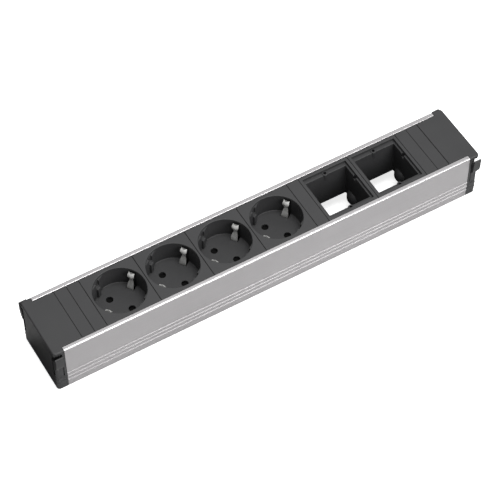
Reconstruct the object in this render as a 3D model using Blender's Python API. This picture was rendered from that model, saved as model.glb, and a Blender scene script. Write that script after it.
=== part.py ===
"""Desk power strip: two extruded rails, end caps with spring tongues, four earthed sockets, two empty
module frames and the live parts under them.

Every size is in millimetres; MM turns it into Blender's metres when a mesh is made. The origin is at the
middle of the underside, +X runs to the right-hand end, -Y is the front and +Z is up.
"""

import math

import bmesh
import bpy
from mathutils import Matrix, Vector

MM = 0.001
GAP = 0.3                      # clearance between neighbouring pieces

# Driving dimensions of the whole strip
HEIGHT = 46.0
FACE_Y = 27.5                  # half the width over the rail faces
SOCKET_PITCH = 45.0
FRAME_PITCH = 44.4
FILLER_PITCH = 10.3
CAP_TOP = 25.75                # how much of the top each end cap takes
WING = 8.6                     # how far a cap's wing runs along the rail face
LAYOUT = (["cap"] + 2 * ["filler"] + 4 * ["socket"] + ["filler"] + 2 * ["frame"] + 2 * ["filler"] + ["cap"])
PITCH = {"cap": CAP_TOP, "filler": FILLER_PITCH, "socket": SOCKET_PITCH, "frame": FRAME_PITCH}
LENGTH = sum(PITCH[kind] for kind in LAYOUT)

# Rail section: depth is measured inwards from the rail face
WEB = 1.6
LIP = 3.8
LIP_THICK = 1.8
RIB_DEPTH = 3.2
TOP_RIB = (40.4, 41.6)
LOW_RIB = (4.2, 5.4)
FOOT_R = 0.8
SHOULDER_R = 1.2
LIP_EDGE_R = 0.5
BEAD_PITCH = 4.3
BEAD_COUNT = 3
BEAD_LOW_Z = 7.6               # middle of the lowest bead
BEAD_WIDTH = 2.5
BEAD_PROUD = 0.55

# Section shared by everything that slides in between the rails
TOP_Z = HEIGHT - 0.3
TOP_HALF = FACE_Y - LIP - GAP
FLANGE_HALF = FACE_Y - WEB - 0.4
FLANGE = (41.9, 43.9)
PLATE_LOW_Z = 43.5
WIDE_SKIRT = (22.9, 1.3)       # half width and thickness under the fillers and caps
SKIRT = (22.6, 1.4)            # the same under the sockets and frames
FILLER_SKIRT_Z = FLANGE[0] - 1.0

# Earthed socket
RECESS_R = 20.5
RIM = 0.5                      # rounding of the recess's top edge
RECESS_FLOOR_Z = TOP_Z - 17.8
FLOOR_THICK = 2.0
CUP_R = RECESS_R + 1.35
LAND_CHORD = 18.8              # distance of a land's flat from the middle
LAND_HALF = 8.6
NOTCH_LOW_Z = 38.6
GUIDE_RIB = (17.2, 19.4)
CLIP_SLOT = (15.0, 21.6)
HOUSING_FAR = 22.7
PIN_R = 9.5
PIN_HOLE_R = 2.75
PIN_ANGLE = math.radians(-55.0)
CLIP_ANGLE = math.radians(35.0)
CUP_SIDES = 40
SKIRT_LOW_Z = 22.4
POST_AT = 18.6                 # of the two screw posts, on X and on Y
POST_R = 2.9
PILOT_R = 1.6
PILOT_TOP_Z = 34.0

# Shutter
SHUTTER_Z = (23.6, 25.6)
SHUTTER_R = 12.9
HUB_R = 4.2
SPIGOT_R = 1.5
SPIGOT_HEAD_R = 2.6
RAMP = (7.6, 11.4)
SPRING_TURNS = 1.9
SPRING_R = 2.3
SPRING_Z = (22.15, 23.0)
SPRING_WIRE_R = 0.15

# Earth stirrup
STRIP_THICK = 0.6

# Live parts
TRAY_Z = (4.5, 21.9)
TRAY_WALL = 1.6
BAR_Y = 13.9
BAR_THICK = 0.8
BAR_Z = (8.0, 13.0)
FORK_TOP_Z = 21.0
COLUMN_R = 3.4
HEAD_R = 2.3
SHANK_R = 1.25

# Base cover and inlet
COVER_Z = (2.1, 3.9)
INLET_X = 25.85                # from the left end
INLET_HALF = (9.9, 13.6)
INLET_TOP_Z = 24.0
MOUTH_TOP_Z = 20.0
BLADE_Z = (6.5, 29.0)
WIRE_R = 1.3

# Module frame
FRAME_LOW_Z = HEIGHT - 33.4
STEP_Z = TOP_Z - 2.5
MOUTH_HALF = (19.5, 20.8)
WELL_HALF_X = 18.1
WELL_HALF_Y = (15.4, 17.8)     # at the bottom and at the step
BULGE_TOP_Z = HEIGHT - 25.0
BOSS_R = 2.4
BOSS_HOLE_R = 1.3
BOSSES = ((0.0, 19.2), (0.0, -19.2))

# End cap
CAP_WALL = 2.5
CORNER_R = 2.5
HOLLOW_Y = 20.4
PLUG_SKIRT_Z = 36.0
PEG_Z = (7.0, 39.0)
PEG_DEPTH = 3.4
PEG_END = 22.0

# Spring tongue: depth is measured inwards from the rail face
TONGUE_WIDTH = 6.2
TONGUE_SLOT = 0.6
TONGUE_THICK = 1.8
TONGUE_ROOT_Z = 15.0
HOOK_LOW_Z = 26.2
HOOK_PROUD = 2.9
HOOK_TIP_R = 0.8
FLANGE_LOW_Z = 43.0
POCKET_Y = FACE_Y - 5.0


def finish(piece, colour, roughness, metallic=0.0):
    """Gives a piece its own Principled material."""
    material = bpy.data.materials.new(piece.name)
    material.use_nodes = True
    shader = material.node_tree.nodes["Principled BSDF"]
    shader.inputs["Base Color"].default_value = (*colour, 1.0)
    shader.inputs["Roughness"].default_value = roughness
    shader.inputs["Metallic"].default_value = metallic
    material.diffuse_color = (*colour, 1.0)
    piece.data.materials.clear()
    piece.data.materials.append(material)


def solid(name, mesh_builder):
    """Makes an object from a builder that fills a bmesh in millimetres."""
    shape = bmesh.new()
    mesh_builder(shape)
    bmesh.ops.recalc_face_normals(shape, faces=shape.faces)
    bmesh.ops.scale(shape, vec=(MM, MM, MM), verts=shape.verts)
    mesh = bpy.data.meshes.new(name)
    shape.to_mesh(mesh)
    shape.free()
    piece = bpy.data.objects.new(name, mesh)
    bpy.context.collection.objects.link(piece)
    return piece


def prism(name, outline, low, high, along="Z"):
    """Extrudes a closed outline; it lies in YZ along X, in XZ along Y and in XY along Z."""
    def point(a, b, height):
        return {"X": (height, a, b), "Y": (a, height, b), "Z": (a, b, height)}[along]

    def build(shape):
        start = [shape.verts.new(point(a, b, low)) for a, b in outline]
        end = [shape.verts.new(point(a, b, high)) for a, b in outline]
        shape.faces.new(start)
        shape.faces.new(end)
        for i in range(len(outline)):
            j = (i + 1) % len(outline)
            shape.faces.new((start[i], start[j], end[j], end[i]))
    return solid(name, build)


def box(name, x, y, z):
    """A block between two limits on each axis."""
    return prism(name, [(x[0], y[0]), (x[1], y[0]), (x[1], y[1]), (x[0], y[1])], z[0], z[1])


def turned(name, profile, sides, centre=(0.0, 0.0)):
    """Turns a closed (radius, z) profile about a vertical axis; a radius of 0 closes on the axis."""
    def build(shape):
        rings = []
        for radius, z in profile:
            if radius == 0:
                rings.append([shape.verts.new((centre[0], centre[1], z))] * sides)
                continue
            angles = [math.tau * k / sides for k in range(sides)]
            rings.append([shape.verts.new((centre[0] + radius * math.cos(a),
                                           centre[1] + radius * math.sin(a), z)) for a in angles])
        for lower, upper in zip(rings, rings[1:] + rings[:1]):
            for k in range(sides):
                n = (k + 1) % sides
                corners = list(dict.fromkeys((lower[k], lower[n], upper[n], upper[k])))
                if len(corners) > 2:
                    shape.faces.new(corners)
    return solid(name, build)


def cylinder(name, radius, low, high, sides, centre=(0.0, 0.0)):
    """A plain round pin standing on Z."""
    circle = [(centre[0] + radius * math.cos(math.tau * k / sides),
               centre[1] + radius * math.sin(math.tau * k / sides)) for k in range(sides)]
    return prism(name, circle, low, high)


def tube(name, path, radius, sides):
    """A round wire swept along a path of points, closed at both ends."""
    def build(shape):
        points = [Vector(p) for p in path]
        side = Vector((0.0, 0.0, 1.0)).cross(points[1] - points[0])
        side = side if side.length > 1e-6 else Vector((1.0, 0.0, 0.0))
        rings = []
        for k, point in enumerate(points):
            ahead = (points[min(k + 1, len(points) - 1)] - points[max(k - 1, 0)]).normalized()
            side = (side - ahead * side.dot(ahead)).normalized()
            other = ahead.cross(side)
            turns = [math.tau * i / sides for i in range(sides)]
            rings.append([shape.verts.new(point + radius * (math.cos(t) * side + math.sin(t) * other))
                          for t in turns])
        for near, far in zip(rings, rings[1:]):
            for i in range(sides):
                j = (i + 1) % sides
                shape.faces.new((near[i], near[j], far[j], far[i]))
        shape.faces.new(rings[0])
        shape.faces.new(rings[-1])
    return solid(name, build)


def combine(base, tools, operation):
    """Joins tools to a piece, or cuts them from it, and removes them."""
    for tool in tools:
        modifier = base.modifiers.new(tool.name, "BOOLEAN")
        modifier.operation = operation
        modifier.object = tool
        modifier.solver = "EXACT"
        depsgraph = bpy.context.evaluated_depsgraph_get()
        mesh = bpy.data.meshes.new_from_object(base.evaluated_get(depsgraph))
        base.modifiers.clear()
        base.data = mesh
        bpy.data.objects.remove(tool)
    return base


def join(base, *tools):
    return combine(base, tools, "UNION")


def cut(base, *tools):
    return combine(base, tools, "DIFFERENCE")


def turn(piece, angle):
    """Turns a piece's mesh about the vertical axis through the origin."""
    piece.data.transform(Matrix.Rotation(angle, 4, "Z"))
    return piece


def mirrored(piece, scale):
    """Mirrors a piece's mesh about planes through the origin and keeps its faces pointing out."""
    piece.data.transform(Matrix.Diagonal((*scale, 1.0)))
    if scale[0] * scale[1] * scale[2] < 0:
        piece.data.flip_normals()
    return piece


def smooth(piece, degrees=35.0):
    piece.data.shade_smooth()
    piece.data.set_sharp_from_angle(angle=math.radians(degrees))
    return piece


def copy_at(piece, name, x):
    """Another object with the same mesh, moved along X."""
    twin = bpy.data.objects.new(name, piece.data.copy())
    twin.location = (x * MM, 0.0, 0.0)
    bpy.context.collection.objects.link(twin)
    return twin


def arc(centre, radius, start, end, steps):
    """Points of a round stretch, with its angles in degrees."""
    angles = [math.radians(start + (end - start) * k / steps) for k in range(steps + 1)]
    return [(centre[0] + radius * math.cos(a), centre[1] + radius * math.sin(a)) for a in angles]


def polar(radius, angle, across=0.0):
    """A point at a radius on a direction, shifted sideways from that direction."""
    return (radius * math.cos(angle) - across * math.sin(angle),
            radius * math.sin(angle) + across * math.cos(angle))


def seams():
    """The X position of each seam along the strip, from the left end."""
    edges = [-LENGTH / 2]
    for kind in LAYOUT:
        edges.append(edges[-1] + PITCH[kind])
    return edges


def middles(kind):
    """The middle of each module of one kind."""
    edges = seams()
    return [(edges[i] + edges[i + 1]) / 2 for i, name in enumerate(LAYOUT) if name == kind]


def rail_outline():
    """Half section of the strip's wall, as (depth from the face, z), going round clockwise."""
    outline = arc((FOOT_R, FOOT_R), FOOT_R, 270, 180, 3)
    for number in range(BEAD_COUNT):
        middle = BEAD_LOW_Z + number * BEAD_PITCH
        for share in (-0.5, -0.3, -0.12, 0.12, 0.3, 0.5):
            proud = BEAD_PROUD * (0.5 + 0.5 * math.cos(math.tau * share))
            outline.append((-proud, middle + share * BEAD_WIDTH))
    outline += arc((SHOULDER_R, HEIGHT - SHOULDER_R), SHOULDER_R, 180, 90, 4)
    outline += arc((LIP - LIP_EDGE_R, HEIGHT - LIP_EDGE_R), LIP_EDGE_R, 90, 0, 2)
    outline += [(LIP, HEIGHT - LIP_THICK), (WEB, HEIGHT - LIP_THICK)]
    for low, high in (TOP_RIB, LOW_RIB):
        outline += [(WEB, high), (RIB_DEPTH, high), (RIB_DEPTH, low), (WEB, low)]
    outline += [(WEB, LIP_THICK), (LIP, LIP_THICK), (LIP, LIP_EDGE_R), (LIP - LIP_EDGE_R, 0.0)]
    return outline


def build_rails():
    half = LENGTH / 2 - WING - GAP
    for name, side in (("front_rail", -1), ("back_rail", 1)):
        outline = [(side * (FACE_Y - depth), z) for depth, z in rail_outline()]
        rail = smooth(prism(name, outline, -half, half, "X"))
        finish(rail, (0.40, 0.39, 0.40), 0.35, 1.0)


def slide_section(skirt, skirt_low):
    """Section of a module: top plate, flanges under the rail lips and a skirt down each side."""
    skirt_half, skirt_thick = skirt
    right = [(TOP_HALF, TOP_Z), (TOP_HALF, FLANGE[1]), (FLANGE_HALF, FLANGE[1]), (FLANGE_HALF, FLANGE[0]),
             (skirt_half, FLANGE[0]), (skirt_half, skirt_low), (skirt_half - skirt_thick, skirt_low),
             (skirt_half - skirt_thick, PLATE_LOW_Z)]
    return right + [(-y, z) for y, z in reversed(right)]


def build_fillers():
    half = (FILLER_PITCH - GAP) / 2
    for number, x in enumerate(middles("filler"), start=1):
        filler = prism(f"filler_{number}", slide_section(WIDE_SKIRT, FILLER_SKIRT_Z), -half, half, "X")
        filler.location = (x * MM, 0.0, 0.0)
        finish(filler, (0.030, 0.030, 0.031), 0.5)


def round_land(angle):
    """Flat land on the recess wall, a chord in plan, that the plug's notched side faces."""
    outline = [polar(LAND_CHORD, angle, side) for side in (-LAND_HALF, LAND_HALF)]
    outline += [polar(RECESS_R + 0.6, angle + math.radians(turn_by)) for turn_by in (24, 12, 0, -12, -24)]
    return prism("land", outline, RECESS_FLOOR_Z - 0.6, TOP_Z - 1.6)


def radial_box(name, angle, near, far, half_width, z):
    """A block that lies along one direction in plan."""
    return turn(box(name, (near, far), (-half_width, half_width), z), angle)


def build_socket_inserts():
    """Cover plate and recess in one moulding, with screw posts and the shutter's spigot below."""
    floor = RECESS_FLOOR_Z
    half = (SOCKET_PITCH - GAP) / 2
    insert = prism("insert", slide_section(SKIRT, SKIRT_LOW_Z), -half, half, "X")
    join(insert, cylinder("cup", CUP_R, floor - FLOOR_THICK, TOP_Z - 1.0, CUP_SIDES))
    for angle in (CLIP_ANGLE, CLIP_ANGLE + math.pi):
        join(insert, radial_box("housing", angle, 18.5, HOUSING_FAR, 4.6, (floor - FLOOR_THICK, TOP_Z - 1.2)))
    for x, y in ((-POST_AT, POST_AT), (POST_AT, -POST_AT)):
        join(insert, cylinder("post", POST_R, SKIRT_LOW_Z, TOP_Z - 1.0, 12, (x, y)))
        cut(insert, cylinder("pilot", PILOT_R, SKIRT_LOW_Z - 1.0, PILOT_TOP_Z, 10, (x, y)))
    spigot = [(0, floor - 1.0), (SPIGOT_R, floor - 1.0), (SPIGOT_R, 21.7), (SPIGOT_HEAD_R, 21.5), (1.9, 20.7),
              (0, 20.7)]
    recess = [(0, floor), (RECESS_R - 0.2, floor), (RECESS_R, TOP_Z - RIM), (RECESS_R + 2 * RIM, TOP_Z + RIM),
              (0, TOP_Z + RIM)]
    cut(insert, turned("recess", recess, CUP_SIDES))
    join(insert, turned("spigot", spigot, 12))
    for angle in (PIN_ANGLE, PIN_ANGLE + math.pi):
        join(insert, round_land(angle))
        cut(insert, radial_box("notch", angle, LAND_CHORD - 0.5, 20.1, 2.3, (NOTCH_LOW_Z, TOP_Z - 1.0)))
        join(insert, radial_box("guide_rib", angle, *GUIDE_RIB, 1.9, (floor - 0.5, NOTCH_LOW_Z - 0.6)))
        cut(insert, cylinder("pin_hole", PIN_HOLE_R, 24.0, floor + 1.0, 16, polar(PIN_R, angle)))
    for angle in (CLIP_ANGLE, CLIP_ANGLE + math.pi):
        cut(insert, radial_box("clip_slot", angle, *CLIP_SLOT, 3.2, (24.0, TOP_Z - 1.3)))
    smooth(insert)
    for number, x in enumerate(middles("socket"), start=1):
        finish(copy_at(insert, f"socket_insert_{number}", x), (0.028, 0.028, 0.029), 0.5)
    bpy.data.objects.remove(insert)


def build_shutters():
    """Bow-tie shutter that covers both pin holes, on its spigot, with a ramp on each wing."""
    low, high = SHUTTER_Z
    outline = []
    for wing in (0.0, 180.0):
        outline += arc((0.0, 0.0), SHUTTER_R, wing - 18, wing + 18, 4)
        outline += arc((0.0, 0.0), HUB_R, wing + 50, wing + 130, 3)
    shutter = turn(prism("shutter", outline, low, high), PIN_ANGLE)
    for angle in (PIN_ANGLE, PIN_ANGLE + math.pi):
        ramp = prism("ramp", [(low - 1.2, -2.6), (low + 0.4, -2.6), (low + 0.4, 2.6), (low + 0.1, 2.6)],
                     *RAMP, "X")
        ramp.data.transform(Matrix(((1, 0, 0, 0), (0, 0, 1, 0), (0, 1, 0, 0), (0, 0, 0, 1))))
        ramp.data.flip_normals()
        join(shutter, turn(ramp, angle))
    cut(shutter, cylinder("hub_hole", SPIGOT_R + GAP, low - 2, high + 2, 12))
    smooth(shutter)
    for number, x in enumerate(middles("socket"), start=1):
        finish(copy_at(shutter, f"shutter_{number}", x), (0.035, 0.035, 0.036), 0.45)
    bpy.data.objects.remove(shutter)


def build_shutter_springs():
    """Two turns of wire between the spigot's head and the shutter's hub."""
    steps = 20
    path = []
    for k in range(steps + 1):
        angle = math.tau * SPRING_TURNS * k / steps
        height = SPRING_Z[0] + (SPRING_Z[1] - SPRING_Z[0]) * k / steps
        path.append((SPRING_R * math.cos(angle), SPRING_R * math.sin(angle), height))
    spring = smooth(tube("spring", path, SPRING_WIRE_R, 5))
    for number, x in enumerate(middles("socket"), start=1):
        finish(copy_at(spring, f"shutter_spring_{number}", x), (0.55, 0.55, 0.56), 0.3, 1.0)
    bpy.data.objects.remove(spring)


def build_earth_clips():
    """Sprung stirrup: a bridge under the forks and two waisted prongs that bulge into the recess.

    A prong's stations are (distance from the socket's axis, height, half width).
    """
    prong = [(15.6, 7.1, 2.6), (15.6, 27.0, 2.6), (16.4, 30.0, 2.7), (18.2, 36.0, 1.5), (17.4, 39.0, 2.1),
             (16.9, 41.0, 2.7), (18.0, 42.6, 2.7), (19.8, 43.8, 2.4)]
    path = [(-r, z, w) for r, z, w in reversed(prong)] + prong

    def build(shape):
        rings = []
        for k, (x, z, half) in enumerate(path):
            before = Vector((path[max(k - 1, 0)][0], path[max(k - 1, 0)][1]))
            after = Vector((path[min(k + 1, len(path) - 1)][0], path[min(k + 1, len(path) - 1)][1]))
            here = Vector((x, z))
            into = (here - before).normalized() if k else (after - here).normalized()
            out = (after - here).normalized() if k < len(path) - 1 else into
            bisector = (into + out).normalized()
            across = Vector((-bisector.y, bisector.x)) * (STRIP_THICK / 2 / bisector.dot(into))
            rings.append([shape.verts.new((x + s * across.x, w, z + s * across.y))
                          for s, w in ((-1, -half), (1, -half), (1, half), (-1, half))])
        for near, far in zip(rings, rings[1:]):
            for i in range(4):
                j = (i + 1) % 4
                shape.faces.new((near[i], near[j], far[j], far[i]))
        shape.faces.new(rings[0])
        shape.faces.new(rings[-1])
    clip = turn(solid("clip", build), CLIP_ANGLE)
    for number, x in enumerate(middles("socket"), start=1):
        finish(copy_at(clip, f"earth_clip_{number}", x), (0.60, 0.60, 0.58), 0.3, 1.0)
    bpy.data.objects.remove(clip)


def build_bars():
    """Live and neutral bars with a fork under each pin hole, and the flat earth bar on the stirrups."""
    sockets = middles("socket")
    tail = sockets[0] - SOCKET_PITCH / 2 - 8.0
    for name, side in (("live_busbar", 1), ("neutral_busbar", -1)):
        inner = side * (BAR_Y - BAR_THICK / 2)
        outer = side * (BAR_Y + BAR_THICK / 2)
        bar = box(name, (tail, sockets[-1] + 9.0), sorted((inner, outer)), BAR_Z)
        for middle in sockets:
            x = middle + polar(PIN_R, PIN_ANGLE)[0] * -side
            near, far = sorted((side * 5.2, side * 10.6))
            fork_outside = [(x - 3.0, FORK_TOP_Z), (x - 3.0, BAR_Z[0]), (x + 3.0, BAR_Z[0]), (x + 3.0, FORK_TOP_Z)]
            fork_inside = [(x + 2.2, FORK_TOP_Z), (x + 2.2, BAR_Z[0] + BAR_THICK),
                           (x - 2.2, BAR_Z[0] + BAR_THICK), (x - 2.2, FORK_TOP_Z)]
            arm = sorted((side * 10.0, side * (BAR_Y + 0.1)))
            join(bar, prism("fork", fork_outside + fork_inside, near, far, "Y"))
            join(bar, box("arm", (x - 2.6, x + 2.6), arm, (BAR_Z[0] + 0.1, BAR_Z[0] + 0.7)))
        finish(bar, (0.70, 0.50, 0.22), 0.3, 1.0)
    earth = box("earth_bar", (tail, sockets[-1] + 9.0), (-2.5, 2.5), (7.7, 8.5))
    finish(earth, (0.70, 0.50, 0.22), 0.3, 1.0)


def build_carrier():
    """Tray for the live parts, with slotted cross walls and a counterbored column for each screw."""
    sockets = middles("socket")
    low, high = TRAY_Z
    floor = low + 1.8
    start = sockets[0] - SOCKET_PITCH / 2 + GAP
    end = sockets[-1] + SOCKET_PITCH / 2 - GAP
    carrier = box("contact_carrier", (start, end), (-21.2, 21.2), (low, high))
    rooms = [start] + [x + SOCKET_PITCH / 2 for x in sockets[:-1]] + [end]
    for left, right in zip(rooms, rooms[1:]):
        inner_left = left + (TRAY_WALL if left == start else TRAY_WALL / 2)
        inner_right = right - (TRAY_WALL if right == end else TRAY_WALL / 2)
        cut(carrier, box("room", (inner_left, inner_right), (-19.6, 19.6), (floor, high + 1.0)))
    slot_run = (start - 1.0, sockets[-1])
    for y in (BAR_Y, -BAR_Y):
        cut(carrier, box("bar_slot", slot_run, (y - 0.8, y + 0.8), (BAR_Z[0] - GAP, high + 1.0)))
    cut(carrier, box("earth_slot", slot_run, (-2.9, 2.9), (7.3, high + 1.0)))
    for number, (x, y) in enumerate(screw_places(), start=1):
        join(carrier, cylinder("column", COLUMN_R, low + 0.2, high, 12, (x, y)))
        bore = [(0, low - 1.0), (HEAD_R + GAP, low - 1.0), (HEAD_R + GAP, 8.0), (PILOT_R, 8.0),
                (PILOT_R, high + 1.0), (0, high + 1.0)]
        cut(carrier, turned("bore", bore, 12, (x, y)))
        screw = [(0, 6.3), (HEAD_R - 0.3, 6.3), (HEAD_R, 6.6), (HEAD_R, 7.7), (SHANK_R, 7.7), (SHANK_R, 31.0),
                 (0, 32.6)]
        finish(smooth(turned(f"carrier_screw_{number}", screw, 12, (x, y))), (0.55, 0.55, 0.56), 0.35, 1.0)
    finish(carrier, (0.03, 0.03, 0.03), 0.55)


def screw_places():
    """Two screws for each socket, at opposite corners."""
    return [(x + side * POST_AT, -side * POST_AT) for x in middles("socket") for side in (-1, 1)]


def build_frames():
    """Empty module frame: top ring, a step inside it, then a well that runs out of the underside."""
    half = (FRAME_PITCH - GAP) / 2
    low = FRAME_LOW_Z
    frame = prism("frame", slide_section(SKIRT, low + 2.0), -half, half, "X")
    join(frame, box("shell", (-21.0, 21.0), (-21.6, 21.6), (low, TOP_Z - 1.0)))
    cut(frame, box("mouth", (-MOUTH_HALF[0], MOUTH_HALF[0]), (-MOUTH_HALF[1], MOUTH_HALF[1]), (STEP_Z, TOP_Z + 1.0)))
    foot, brim = WELL_HALF_Y
    slope = (brim - foot) / (STEP_Z - low)
    well = [(-brim - slope, STEP_Z + 1.0), (brim + slope, STEP_Z + 1.0), (foot - slope, low - 1.0),
            (slope - foot, low - 1.0)]
    cut(frame, prism("well", well, -WELL_HALF_X, WELL_HALF_X, "X"))
    bulge = arc((24.6, 5.5), 10.0, 138, 222, 8) + [(19.5, -1.0), (19.5, 12.0)]
    join(frame, prism("bulge", bulge, low, BULGE_TOP_Z))
    for x, y in BOSSES:
        join(frame, cylinder("boss", BOSS_R, STEP_Z - 5.0, STEP_Z + 0.6, 12, (x, y)))
        cut(frame, cylinder("boss_hole", BOSS_HOLE_R, STEP_Z - 3.5, STEP_Z + 2.0, 10, (x, y)))
    for number, x in enumerate(middles("frame"), start=1):
        finish(copy_at(frame, f"module_frame_{number}", x), (0.026, 0.026, 0.027), 0.5)
    bpy.data.objects.remove(frame)


def cap_head_outline():
    """Section of a cap head in YZ, its corners rounded like the rail's."""
    right = [(FACE_Y - depth, z) for depth, z in rail_outline() if depth <= SHOULDER_R]
    return right + [(-y, z) for y, z in reversed(right)]


def corner_waste(end, side, high):
    """What the round upright corner of an end takes away; end and side are the corner's signs on X and Y."""
    middle = (LENGTH / 2 - CORNER_R, FACE_Y - CORNER_R)
    beyond = (middle[0] + CORNER_R + 1.0, middle[1] + CORNER_R + 1.0)
    outline = arc(middle, CORNER_R, 0, 90, 5) + [(middle[0], beyond[1]), beyond, (beyond[0], middle[1])]
    return prism("corner", [(end * x, side * y) for x, y in outline], -1.0, high)


def build_end_cap(name, end):
    """Cap with its end wall at -X where end is -1 and at +X where it is 1."""
    start = -LENGTH / 2
    edge = start + WING
    cap = prism(name, cap_head_outline(), start, edge, "X")
    cut(cap, box("hollow", (start + CAP_WALL, edge + 1.0), (-HOLLOW_Y, HOLLOW_Y), (2.0, PLATE_LOW_Z)))
    plate = [(y, HEIGHT if z == TOP_Z else z) for y, z in slide_section(WIDE_SKIRT, PLUG_SKIRT_Z)]
    join(cap, prism("plate", plate, edge - 1.0, start + CAP_TOP - GAP / 2, "X"))
    for side in (-1, 1):
        cut(cap, corner_waste(-1, side, HEIGHT + 1.0))
        pocket_y = sorted((side * POCKET_Y, side * (FACE_Y + 1.0)))
        cut(cap, box("pocket", (start - 1.0, start + TONGUE_WIDTH + TONGUE_SLOT), pocket_y,
                     (TONGUE_ROOT_Z, FLANGE_LOW_Z)))
        peg_y = sorted((side * (FACE_Y - PEG_DEPTH), side * (FACE_Y - WEB - GAP)))
        join(cap, box("peg", (edge - 0.8, start + PEG_END), peg_y, PEG_Z))
    mirrored(cap, (-end, 1.0, 1.0))
    smooth(cap, 25.0)
    finish(cap, (0.028, 0.028, 0.029), 0.5)


def tongue_outline():
    """Section of a spring tongue as (depth from the face, z): leaf, proud hook and bevelled crest."""
    root = TONGUE_ROOT_Z + GAP
    outline = [(TONGUE_THICK, root), (0.0, root), (0.0, HOOK_LOW_Z), (0.7 - HOOK_PROUD, HOOK_LOW_Z + 4.0),
               (0.1 - HOOK_PROUD, HOOK_LOW_Z + 7.8)]
    outline += arc((HOOK_TIP_R - HOOK_PROUD, 41.8), HOOK_TIP_R, 180, 60, 4)
    outline += [(TONGUE_THICK, 35.5)]
    return outline


def build_tongues():
    """Four sprung tongues, each with its origin on its bending axis at the root."""
    for end_name, end in (("left", -1), ("right", 1)):
        for side_name, side in (("front", -1), ("back", 1)):
            name = f"{end_name}_{side_name}_tongue"
            pivot = Vector((end * (LENGTH / 2 - TONGUE_WIDTH / 2), side * (FACE_Y - TONGUE_THICK / 2),
                            TONGUE_ROOT_Z + GAP))
            outline = [(side * (FACE_Y - depth) - pivot.y, z - pivot.z) for depth, z in tongue_outline()]
            tongue = prism(name, outline, -TONGUE_WIDTH / 2, TONGUE_WIDTH / 2, "X")
            waste = corner_waste(end, side, HOOK_LOW_Z - 0.4)
            waste.data.transform(Matrix.Translation(-pivot * MM))
            smooth(cut(tongue, waste))
            tongue.location = pivot * MM
            finish(tongue, (0.028, 0.028, 0.029), 0.5)


def build_base_cover():
    """Plate in the rails' lower grooves, under the left cap, the fillers and the sockets."""
    left = -LENGTH / 2 + WING + GAP
    right = middles("filler")[2] + FILLER_PITCH / 2
    inlet = -LENGTH / 2 + INLET_X
    cover = box("base_cover", (left, right), (-FLANGE_HALF, FLANGE_HALF), COVER_Z)
    cut(cover, box("cut_out", (inlet - INLET_HALF[0] - GAP, inlet + INLET_HALF[0] + GAP),
                   (-INLET_HALF[1] - GAP, INLET_HALF[1] + GAP), (1.0, 5.0)))
    finish(cover, (0.03, 0.03, 0.03), 0.6)


def build_inlet():
    """Recessed three-pole inlet that faces down, its blades and the wires to the bars."""
    x = -LENGTH / 2 + INLET_X
    half_x, half_y = INLET_HALF
    body = box("inlet_body", (x - half_x, x + half_x), (-half_y, half_y), (COVER_Z[0], INLET_TOP_Z))
    join(body, box("flange", (x - 12.0, x + 12.0), (-15.8, 15.8), (4.2, 6.0)))
    mouth = [(x - 8.3, -12.1), (x + 4.3, -12.1), (x + 8.3, -8.1), (x + 8.3, 8.1), (x + 4.3, 12.1),
             (x - 8.3, 12.1)]
    cut(body, prism("mouth", mouth, 1.0, MOUTH_TOP_Z))
    blades = {"live": (x - 2.0, 7.0), "neutral": (x - 2.0, -7.0), "earth": (x + 2.0, 0.0)}
    for pole, (blade_x, blade_y) in blades.items():
        slot = box("slot", (blade_x - 2.3, blade_x + 2.3), (blade_y - 1.3, blade_y + 1.3),
                   (MOUTH_TOP_Z - 1.0, INLET_TOP_Z + 1.0))
        cut(body, slot)
        blade = box(f"inlet_pin_{pole}", (blade_x - 2.0, blade_x + 2.0), (blade_y - 1.0, blade_y + 1.0),
                    BLADE_Z)
        finish(blade, (0.62, 0.60, 0.55), 0.3, 1.0)
    finish(body, (0.03, 0.03, 0.03), 0.5)
    tail = middles("socket")[0] - SOCKET_PITCH / 2 - 5.0
    ends = {"live": (tail, BAR_Y, BAR_Z[1]), "neutral": (tail, -BAR_Y, BAR_Z[1]), "earth": (tail, 0.0, 8.5)}
    colours = {"live": (0.16, 0.06, 0.02), "neutral": (0.03, 0.10, 0.35), "earth": (0.10, 0.35, 0.05)}
    for pole, (blade_x, blade_y) in blades.items():
        first = Vector((blade_x, blade_y, BLADE_Z[1] + GAP))
        last = Vector((*ends[pole][:2], ends[pole][2] + GAP))
        handles = (first, first + Vector((0.0, 0.0, 9.0)), last + Vector((0.5, 0.0, 22.0)), last)
        path = [bezier(handles, k / 14) for k in range(15)]
        finish(smooth(tube(f"{pole}_wire", path, WIRE_R, 8)), colours[pole], 0.45)


def bezier(handles, t):
    """A point on a cubic curve."""
    a, b, c, d = handles
    u = 1.0 - t
    return a * u ** 3 + b * 3 * u * u * t + c * 3 * u * t * t + d * t ** 3


for leftover in list(bpy.data.objects):
    bpy.data.objects.remove(leftover)

build_rails()
build_end_cap("left_end_cap", -1)
build_end_cap("right_end_cap", 1)
build_tongues()
build_fillers()
build_socket_inserts()
build_shutters()
build_shutter_springs()
build_earth_clips()
build_bars()
build_carrier()
build_frames()
build_base_cover()
build_inlet()
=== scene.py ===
"""Desk power strip on a white studio floor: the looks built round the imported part.

Sizes are written in millimetres and MM turns them into Blender's metres; only the studio is in metres. +X
runs to the right-hand end, -Y is the front and +Z is up, as in the part itself.
"""

import math

import bmesh
import bpy
from mathutils import Matrix, Vector


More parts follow.
